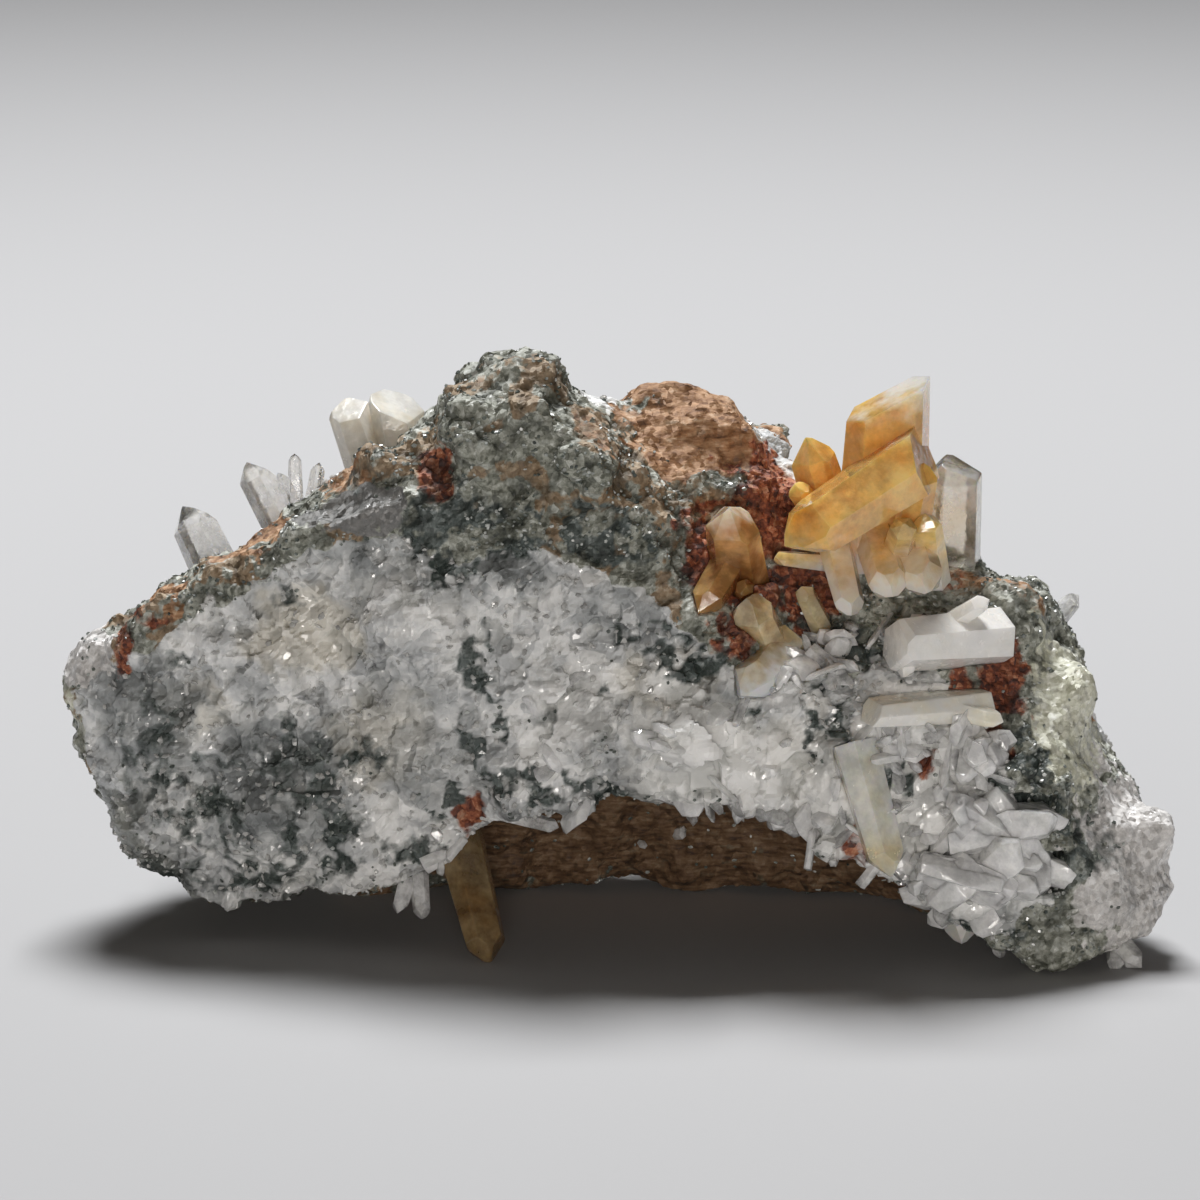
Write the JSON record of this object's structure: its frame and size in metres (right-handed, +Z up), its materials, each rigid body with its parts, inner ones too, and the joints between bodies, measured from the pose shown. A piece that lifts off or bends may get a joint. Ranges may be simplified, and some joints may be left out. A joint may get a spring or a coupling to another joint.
{
  "type": "chlorite quartz specimen",
  "caption": "Arched piece of chlorite schist with white vein quartz and clear, amber and orange quartz crystals, standing on its own feet.",
  "frame": {"origin": "middle of the specimen's outline on the surface it stands on", "axes": "+X along the specimen towards the low limb, the broken vein face towards -Y, +Z up"},
  "size_m": [0.131, 0.0658, 0.0697],
  "materials": {
    "schist_and_vein": "rough grey-green chlorite schist with sugary white vein quartz",
    "orange_quartz": "iron-stained orange quartz, glassy",
    "amber_quartz": "amber quartz with rusty patches",
    "yellow_quartz": "pale yellow quartz, slightly cloudy",
    "white_quartz": "milky quartz, broken faces",
    "peach_quartz": "peach translucent quartz plate",
    "cream_quartz": "cream translucent quartz",
    "clear_quartz": "clear quartz with faint clouds"
  },
  "bodies": {
    "root": {"amber_crystals": "amber_quartz", "arch_edge_crystal": "clear_quartz", "back_clear_crystals": "clear_quartz", "back_left_crystals": "clear_quartz", "back_low_crystal": "clear_quartz", "back_orange_crystals": "orange_quartz", "back_right_crystal": "clear_quartz", "back_spray_crystals": "clear_quartz", "clear_crystal_right": "clear_quartz", "cream_crystal": "cream_quartz", "finger_crystal": "yellow_quartz", "foot_crystals": "clear_quartz", "hanging_small_crystals": "clear_quartz", "hanging_yellow_crystal": "yellow_quartz", "lens_crystal": "clear_quartz", "long_pale_crystal": "yellow_quartz", "matrix_rock": "schist_and_vein", "orange_crystal_cluster": "orange_quartz", "pale_yellow_crystal": "yellow_quartz", "peach_plate_crystal": "peach_quartz", "ridge_right_crystal": "clear_quartz", "round_clear_crystal": "clear_quartz", "smoky_crystal_cluster": "clear_quartz", "under_clear_blade": "clear_quartz", "under_orange_crystal": "orange_quartz", "white_block_crystal": "white_quartz", "white_crystal_mass": "white_quartz", "white_knob_crystal": "white_quartz"}
  },
  "joints": []
}
